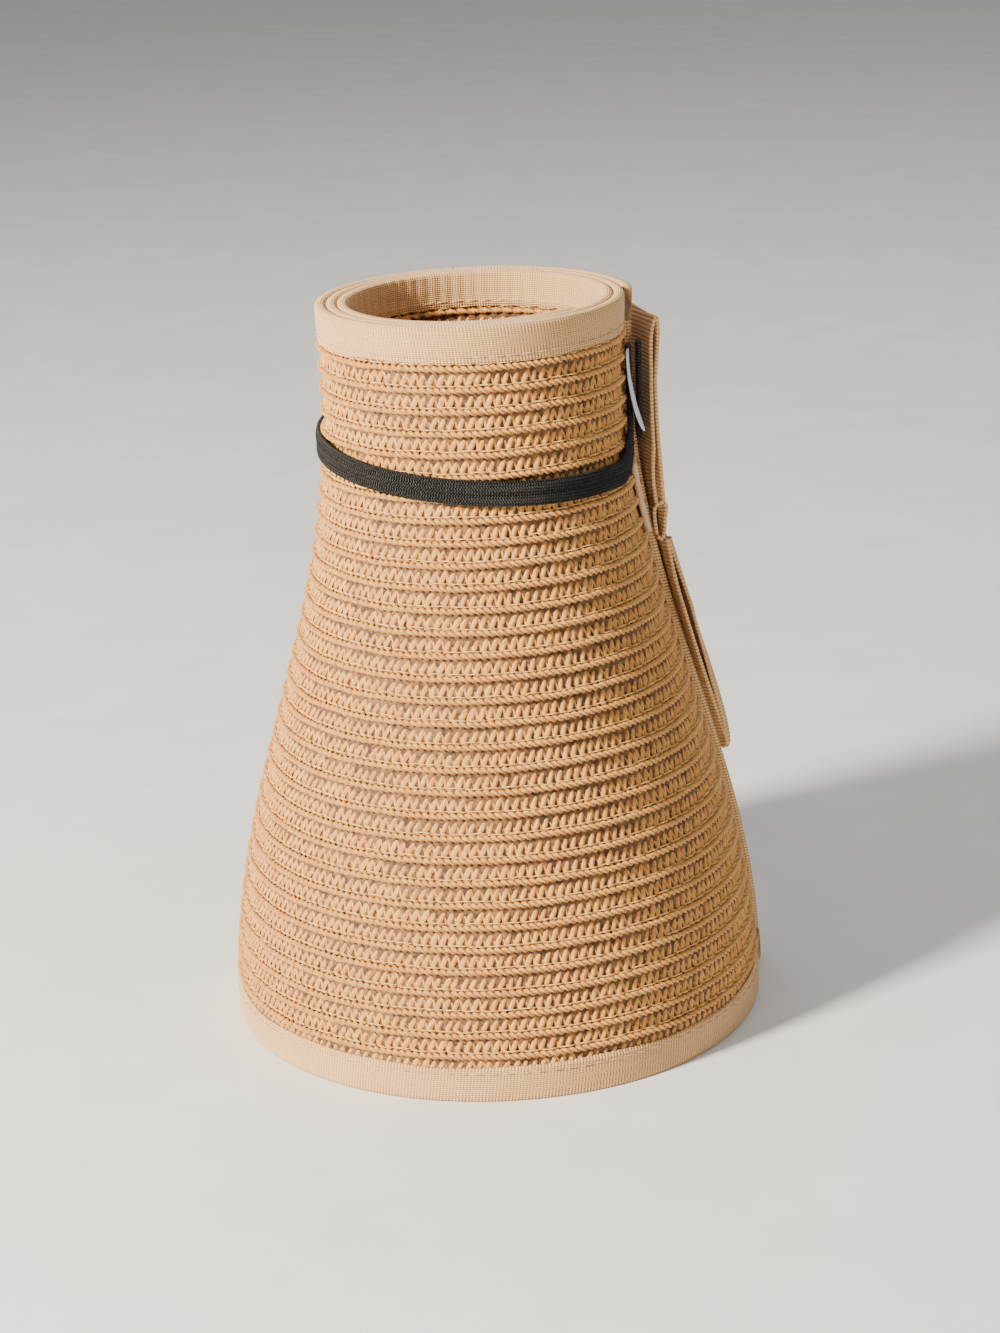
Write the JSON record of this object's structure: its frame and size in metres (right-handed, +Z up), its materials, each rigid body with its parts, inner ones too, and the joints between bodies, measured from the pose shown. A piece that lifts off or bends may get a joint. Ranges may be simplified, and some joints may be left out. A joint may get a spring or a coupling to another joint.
{
  "type": "rolled sun visor",
  "caption": "Packable straw-braid sun visor rolled into a bell-shaped roll, with ribbon-bound edges, an elastic band round its neck and a ribbon bow.",
  "frame": {"origin": "centre of the bounding box's base, on the floor that the brim edge stands on, within a millimetre or two of the roll's axis", "axes": "+Z up along the roll from the brim edge to the narrow head edge; +X towards the bow and the free end of the sheet; the front seen in use as a stored roll faces -Y"},
  "size_m": [0.1126, 0.1122, 0.1505],
  "materials": {
    "straw_braid": "sewn straw braid",
    "ribbon_tape": "ribbed grosgrain",
    "bow_ribbon": "ribbed grosgrain",
    "elastic": "flat braided",
    "tab_fabric": "woven",
    "label_satin": "woven satin"
  },
  "bodies": {
    "roll": {"braid_row_01": "straw_braid", "braid_row_02": "straw_braid", "braid_row_03": "straw_braid", "braid_row_04": "straw_braid", "braid_row_05": "straw_braid", "braid_row_06": "straw_braid", "braid_row_07": "straw_braid", "braid_row_08": "straw_braid", "braid_row_09": "straw_braid", "braid_row_10": "straw_braid", "braid_row_11": "straw_braid", "braid_row_12": "straw_braid", "braid_row_13": "straw_braid", "braid_row_14": "straw_braid", "braid_row_15": "straw_braid", "braid_row_16": "straw_braid", "braid_row_17": "straw_braid", "braid_row_18": "straw_braid", "braid_row_19": "straw_braid", "braid_row_20": "straw_braid", "braid_row_21": "straw_braid", "braid_row_22": "straw_braid", "braid_row_23": "straw_braid", "braid_row_24": "straw_braid", "braid_row_25": "straw_braid", "braid_row_26": "straw_braid", "braid_row_27": "straw_braid", "braid_row_28": "straw_braid", "braid_row_29": "straw_braid", "braid_row_30": "straw_braid", "braid_row_31": "straw_braid", "braid_row_32": "straw_braid", "braid_row_33": "straw_braid", "braid_row_34": "straw_braid", "braid_row_35": "straw_braid", "inner_wraps": "straw_braid", "head_edge_binding": "ribbon_tape", "brim_edge_binding": "ribbon_tape", "inner_end_binding": "ribbon_tape", "elastic_sewn_ends": "elastic"},
    "flap": {"flap_braid_rows": "straw_braid", "flap_head_binding": "ribbon_tape", "flap_brim_binding": "ribbon_tape", "flap_end_binding": "ribbon_tape", "closure_tab": "tab_fabric"},
    "elastic": {"elastic_band": "elastic"},
    "bow": {"bow_knot": "bow_ribbon"},
    "upper_loop": {"bow_upper_loop": "bow_ribbon"},
    "lower_loop": {"bow_lower_loop": "bow_ribbon"},
    "label": {"care_label": "label_satin"}
  },
  "joints": [
    {"name": "flap_open", "type": "hinge", "parent": "roll", "child": "flap", "pos_m": [-0.00807, 0.05732, 0], "axis": [0.0217, -0.1604, 0.9868], "range_deg": [0, 14], "deforming": ["elastic_band"]},
    {"name": "elastic_lift", "type": "slide", "parent": "roll", "child": "elastic", "axis": [0, 0, 1], "range_m": [0, 0.044]},
    {"name": "bow_sway", "type": "hinge", "parent": "flap", "child": "bow", "pos_m": [0.0359, 0.00981, 0.1005], "axis": [0.9613, 0.2756, 0], "range_deg": [-8, 8], "stiffness_Nm_per_rad": 0.02},
    {"name": "upper_loop_flex", "type": "hinge", "parent": "bow", "child": "upper_loop", "pos_m": [0.0359, 0.00981, 0.1005], "axis": [-0.2756, 0.9613, 0], "range_deg": [0, 10], "stiffness_Nm_per_rad": 0.02},
    {"name": "lower_loop_flex", "type": "hinge", "parent": "bow", "child": "lower_loop", "pos_m": [0.0359, 0.00981, 0.1005], "axis": [0.2756, -0.9613, 0], "range_deg": [0, 12], "stiffness_Nm_per_rad": 0.02},
    {"name": "label_flip", "type": "hinge", "parent": "roll", "child": "label", "pos_m": [0.03116, -0.00413, 0.1395], "axis": [-0.1132, -0.9936, 0], "range_deg": [0, 35]}
  ],
  "couplings": [
    {"joint": "elastic_lift", "follows": "flap_open", "m_per_rad": 0.18}
  ]
}
